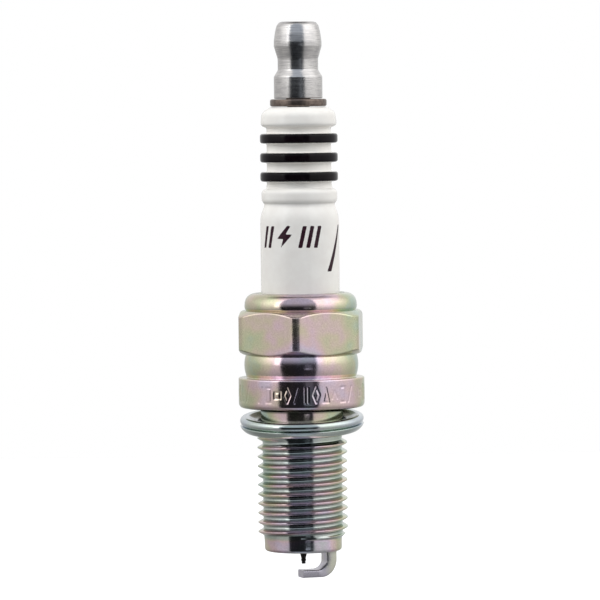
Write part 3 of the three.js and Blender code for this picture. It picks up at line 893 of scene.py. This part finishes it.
def turned_metal(name, dark, light, roughness, lines=9.0):
    """Fine rings left by the tool, in height and in colour."""
    material, tree, shader = new_material(name, Metallic=1.0)
    vector, (x, y, z) = places(tree)
    squeezed = {"X": product(tree, x, 0.05), "Y": product(tree, y, 0.05), "Z": z}
    along = node(tree, "ShaderNodeCombineXYZ", squeezed).outputs[0]
    grooves = noise(tree, along, lines, 4.0, 0.7)
    blotch = spread(tree, noise(tree, vector, 0.8, 3.0), 0.3, 0.7)
    tone = product(tree, grooves, spread(tree, blotch, 0, 1, 0.8, 1.1))
    tree.links.new(ramp(tree, tone, (0.25, dark), (0.75, light)), shader.inputs["Base Color"])
    rough = spread(tree, grooves, 0.3, 0.7, roughness - 0.06, roughness + 0.08)
    tree.links.new(rough, shader.inputs["Roughness"])
    bumped(tree, shader, grooves, 0.35, 0.03 * MM)
    return material


def glazed_ceramic():
    """White glaze over alumina, with dark paint where the paint attribute is above zero."""
    material, tree, shader = new_material("glazed_ceramic")
    vector, (_, _, z) = places(tree)
    clouds = noise(tree, vector, 0.5, 3.0)
    white = ramp(tree, clouds, (0.3, (0.83, 0.8, 0.755)), (0.7, (0.88, 0.86, 0.815)))
    brushed = noise(tree, vector, 1.1, 4.0)
    ribs = ramp(tree, brushed, (0.3, (0.002, 0.001, 0.002)), (0.75, (0.008, 0.004, 0.006)))
    patches = noise(tree, vector, 3.0, 4.0)
    ink = ramp(tree, patches, (0.3, (0.022, 0.008, 0.014)), (0.8, (0.05, 0.02, 0.03)))
    dark = blend(tree, spread(tree, z, PAINT_CHANGE_Z, PAINT_CHANGE_Z + 0.1), ink, ribs)
    ragged = product(tree, maths(tree, "SUBTRACT", noise(tree, vector, 6.0, 2.0), 0.5), 0.09)
    attribute = node(tree, "ShaderNodeAttribute", attribute_name="paint").outputs["Fac"]
    painted = spread(tree, total(tree, attribute, ragged), -0.02, 0.02)
    tree.links.new(blend(tree, painted, white, dark), shader.inputs["Base Color"])
    tree.links.new(spread(tree, painted, 0, 1, 0.5, 0.13), shader.inputs["Specular IOR Level"])
    gloss = spread(tree, noise(tree, vector, 2.0, 3.0), 0.3, 0.7, 0.08, 0.18)
    tree.links.new(gloss, shader.inputs["Roughness"])
    waves = total(tree, product(tree, painted, 0.6), noise(tree, vector, 0.9, 2.0))
    bumped(tree, shader, waves, 0.12, 0.03 * MM)
    return material


def mottled(name, dark, light, roughness, metallic, scale=1.6):
    """Two tones in clouds with a grain: oxidised metal, pressed powder or fused glass."""
    material, tree, shader = new_material(name, Metallic=metallic)
    vector, _ = places(tree)
    tone = noise(tree, vector, scale, 6.0, 0.65)
    tree.links.new(ramp(tree, tone, (0.3, dark), (0.7, light)), shader.inputs["Base Color"])
    grain = noise(tree, vector, scale * 6, 4.0)
    rough = spread(tree, grain, 0.3, 0.7, roughness - 0.06, roughness + 0.06)
    tree.links.new(rough, shader.inputs["Roughness"])
    bumped(tree, shader, grain, 0.3, 0.03 * MM)
    return material


def strap_alloy():
    """Nickel alloy, straw-coloured outside the bend and lilac where welding heated it inside."""
    material, tree, shader = new_material("nickel_strap", Metallic=1.0)
    vector, (x, y, _) = places(tree)
    cloud = spread(tree, noise(tree, vector, 1.2, 4.0), 0.3, 0.7, -0.3, 0.3)
    outwards = spread(tree, total(tree, axis_distance(tree, x, y), cloud), 2.7, 3.9)
    colour = ramp(tree, outwards, (0.0, (0.46, 0.44, 0.5)), (1.0, (0.53, 0.53, 0.45)))
    tree.links.new(colour, shader.inputs["Base Color"])
    grain = noise(tree, vector, 8.0, 4.0)
    tree.links.new(spread(tree, grain, 0.3, 0.7, 0.17, 0.27), shader.inputs["Roughness"])
    bumped(tree, shader, grain, 0.25, 0.02 * MM)
    return material


def dress_cad_node(name, material):
    mesh = frame["nodes"][name].data
    mesh.materials.clear()
    mesh.materials.append(material)


# ---------------------------------------------------------------- stage, light and camera

VIEW_DISTANCE = 575.0
EYE_X = -0.08
EYE_HEIGHT = 39.5
AIM_HEIGHT = 14.3
VIEW_SPAN = 80.0
SENSOR_MM = 36.0
ROLL = math.radians(0.66)
FLOOR_HALF = 700.0
FLOOR_DROP = 40.0
LAMP_ELEVATION = math.radians(50)
LAMP_DISTANCE = 230.0
LAMP_SIZE = 120.0
OPENING_LEFT = -45.0  # the tent's dark opening, in degrees to the right of the front
OPENING_RIGHT = 34.0
OPENING_EDGE = 4.0


def pale_floor():
    """A white floor under the plug, which is lit from below by the tent and not by the floor."""
    material, tree, shader = new_material("pale_floor", Roughness=0.9, Emission_Strength=0.3)
    vector, _ = places(tree)
    pale = ramp(tree, noise(tree, vector, 0.02, 2.0), (0.3, (0.9, 0.9, 0.9)), (0.7, (0.93, 0.93, 0.93)))
    tree.links.new(pale, shader.inputs["Base Color"])
    shader.inputs["Emission Color"].default_value = (1, 1, 1, 1)
    side, drop = FLOOR_HALF * MM, (STRAP_LOW.z - FLOOR_DROP) * MM
    corners = [(-side, -side, drop), (side, -side, drop), (side, side, drop), (-side, side, drop)]
    mesh = bpy.data.meshes.new("floor")
    mesh.from_pydata(corners, [], [(0, 1, 2, 3)])
    mesh.materials.append(material)
    floor = bpy.data.objects.new("floor", mesh)
    floor.visible_glossy = False
    floor.visible_diffuse = False
    bpy.context.scene.collection.objects.link(floor)


def softbox(name, bearing, radiance):
    """A square soft light above, which only shades: its own shape isn't seen in the gloss."""
    light = bpy.data.lights.new(name, "AREA")
    light.size = LAMP_SIZE * MM
    light.energy = radiance * math.pi * (LAMP_SIZE * MM) ** 2
    lamp = bpy.data.objects.new(name, light)
    lamp.visible_glossy = False
    turn = FRONT + math.radians(bearing)
    flat = math.cos(LAMP_ELEVATION)
    towards = Vector((math.cos(turn) * flat, math.sin(turn) * flat, math.sin(LAMP_ELEVATION)))
    lamp.location = towards * LAMP_DISTANCE * MM
    lamp.rotation_euler = towards.to_track_quat("Z", "Y").to_euler()
    bpy.context.scene.collection.objects.link(lamp)


def studio():
    """A white tent, brightest in a band above the horizon, with a dark opening on the camera's side.

    A bright pane stands by the opening's left edge, and two fainter ones inside it. Every level
    depends on a direction's height z, from -1 to 1, and its bearing from the front in degrees.
    """
    world = bpy.data.worlds.new("tent")
    world.use_nodes = True
    tree = world.node_tree
    background = tree.nodes["Background"]
    direction = node(tree, "ShaderNodeTexCoord").outputs["Generated"]
    x, y, z = node(tree, "ShaderNodeSeparateXYZ", {0: direction}).outputs
    bearing = maths(tree, "DEGREES", maths(tree, "ARCTAN2", x, product(tree, y, -1.0)))

    def window(left, right, low, high, strength):
        edges = ((bearing, left, 2), (bearing, right, -2), (z, low, 0.02), (z, high, -0.02))
        shares = (spread(tree, value, edge, edge + inwards) for value, edge, inwards in edges)
        return product(tree, *shares, strength)

    facing = spread(tree, maths(tree, "ABSOLUTE", bearing), 75, 125, 1.0, 0.25)
    walls = total(
        tree,
        spread(tree, z, -0.6, 0.1, 0.35, 0.92),
        product(tree, spread(tree, z, 0.02, 0.3, 0.0, 0.8), facing),
        spread(tree, z, 0.75, 0.97, 0.0, -1.1),
        spread(tree, bearing, 30, 50, 0.0, 0.12),
        window(-57, -44, 0.05, 0.6, 1.0),
    )
    left_end = spread(tree, bearing, -72, -98, 1.0, 0.8)
    right_end = spread(tree, bearing, 95, 125, 1.0, 0.82)
    room = total(
        tree,
        spread(tree, bearing, -5, 30, 0.02, 0.05),
        spread(tree, z, 0.03, 0.2, 0.0, 0.08),
        spread(tree, z, 0.12, 0.4, 0.0, 0.55),
        spread(tree, z, -0.6, -0.75, 0.0, 0.5),
        window(6, 22, -0.1, 0.1, 0.1),
        window(6, 22, -0.2, -0.13, 0.6),
    )
    opening = product(
        tree,
        spread(tree, bearing, OPENING_LEFT, OPENING_LEFT + OPENING_EDGE),
        spread(tree, bearing, OPENING_RIGHT, OPENING_RIGHT - OPENING_EDGE),
    )
    levels = {0: opening, 2: product(tree, walls, left_end, right_end), 3: room}
    tent = node(tree, "ShaderNodeMix", levels).outputs[0]
    seen = node(tree, "ShaderNodeLightPath").outputs["Is Camera Ray"]
    tree.links.new(maths(tree, "MAXIMUM", tent, seen), background.inputs["Strength"])
    bluish = product(tree, opening, maths(tree, "SUBTRACT", 1.0, seen))
    tree.links.new(blend(tree, bluish, (1, 1, 1), (0.88, 0.97, 1.1)), background.inputs["Color"])
    bpy.context.scene.world = world
    softbox("right_light", 60, 1.8)
    softbox("left_light", -60, 3.3)


def camera():
    lens = bpy.data.cameras.new("camera")
    lens.sensor_width = SENSOR_MM
    lens.lens = SENSOR_MM * VIEW_DISTANCE / VIEW_SPAN
    lens.clip_start = 0.01
    lens.clip_end = 100
    eye = bpy.data.objects.new("camera", lens)
    eye.location = Vector((EYE_X, -VIEW_DISTANCE, EYE_HEIGHT)) * MM
    aim = Vector((EYE_X, 0, AIM_HEIGHT)) * MM - eye.location
    rolled = Matrix.Rotation(-ROLL, 3, "Z").to_quaternion()
    eye.rotation_euler = (aim.to_track_quat("-Z", "Y") @ rolled).to_euler()
    bpy.context.scene.collection.objects.link(eye)
    bpy.context.scene.camera = eye


ZINC_TINTS = (
    (0.44, 0.54, 0.45),
    (0.52, 0.54, 0.36),
    (0.61, 0.53, 0.41),
    (0.66, 0.5, 0.52),
    (0.61, 0.51, 0.61),
    (0.51, 0.51, 0.53),
)
# Greener and darker than the plating: partly its colour in the roots, partly painted shade.
ROOT_TINT_AND_SHADE = (0.37, 0.46, 0.42)
BRIGHT_TINTS = ((0.52, 0.57, 0.62), (0.53, 0.6, 0.55), (0.56, 0.57, 0.6))

zinc = plated_steel("zinc_plate", ZINC_TINTS, 0.12)
# The sealing ring's inner upper half gets painted shade from the flange above.
bright_zinc = plated_steel("bright_zinc", BRIGHT_TINTS, 0.12, 0.4, shaded_inside=0.35)
aluminium = turned_metal("turned_aluminium", (0.4, 0.39, 0.395), (0.72, 0.7, 0.675), 0.19)
dark_nickel = mottled("dark_nickel", (0.012, 0.011, 0.01), (0.05, 0.045, 0.04), 0.4, 1.0, 4.0)
iridium = mottled("satin_iridium", (0.03, 0.03, 0.03), (0.08, 0.08, 0.08), 0.35, 1.0, 6.0)
oxidised = mottled("browned_steel", (0.1, 0.08, 0.07), (0.24, 0.19, 0.16), 0.35, 1.0, 2.2)
packing_steel = mottled("packing_steel", (0.28, 0.27, 0.26), (0.4, 0.39, 0.38), 0.4, 1.0)
copper = mottled("drawn_copper", (0.42, 0.15, 0.07), (0.56, 0.24, 0.12), 0.35, 1.0)
talc = mottled("pressed_talc", (0.62, 0.6, 0.55), (0.76, 0.74, 0.7), 0.9, 0.0, 3.0)
seal_glass = mottled("seal_glass", (0.05, 0.03, 0.02), (0.14, 0.07, 0.04), 0.35, 0.3, 5.0)
resistor_mix = mottled("resistor_compound", (0.015, 0.015, 0.017), (0.05, 0.05, 0.05), 0.7, 0.0, 5.0)

metal_shell(zinc)
insulator(glazed_ceramic())
terminal_nut(aluminium)
terminal_stud(oxidised)
gasket(bright_zinc)
ground_electrode(strap_alloy())
centre_electrode(dark_nickel)
iridium_tip(iridium)
tip_weld(dark_nickel)

for node_name, finish in {
    "upper_glass_seal": seal_glass,
    "lower_glass_seal": seal_glass,
    "resistor": resistor_mix,
    "centre_electrode_copper_core": copper,
    "seat_packing_washer": packing_steel,
    "talc_filling": talc,
    "upper_packing_ring": packing_steel,
    "lower_packing_ring": packing_steel,
}.items():
    dress_cad_node(node_name, finish)

pale_floor()
studio()
camera()
bpy.context.scene.view_settings.view_transform = "Standard"
